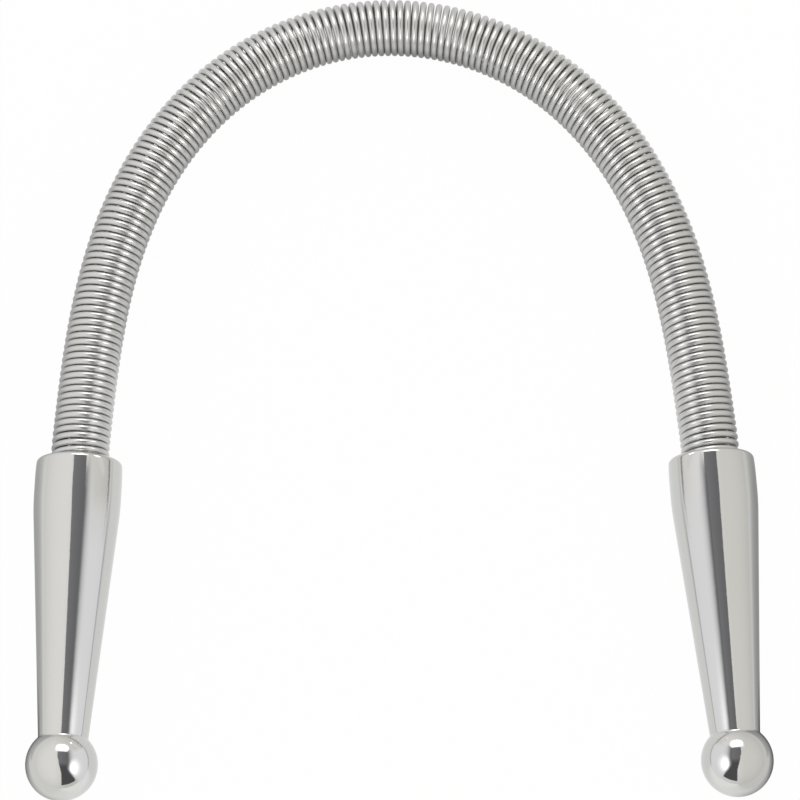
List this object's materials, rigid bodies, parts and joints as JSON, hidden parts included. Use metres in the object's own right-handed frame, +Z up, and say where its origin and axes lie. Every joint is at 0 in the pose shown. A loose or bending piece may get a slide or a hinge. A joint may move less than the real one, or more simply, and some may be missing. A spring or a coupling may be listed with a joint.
{
  "type": "spring facial hair remover",
  "caption": "Close-wound round-wire spring bent into an arch between two tapered, turned metal handles with ball ends.",
  "frame": {"origin": "centre of the footprint, on the surface that the tool lies on", "axes": "+X from the left handle to the right one, +Y from the ball ends towards the top of the arch, +Z up out of the plane of the arch"},
  "size_m": [0.0876, 0.1006, 0.0104],
  "materials": {
    "polished_steel": "turned and polished bright",
    "spring_wire": "bright drawn wire"
  },
  "bodies": {
    "root": {"coil_spring": "spring_wire", "left_handle": "polished_steel", "right_handle": "polished_steel"}
  },
  "joints": []
}
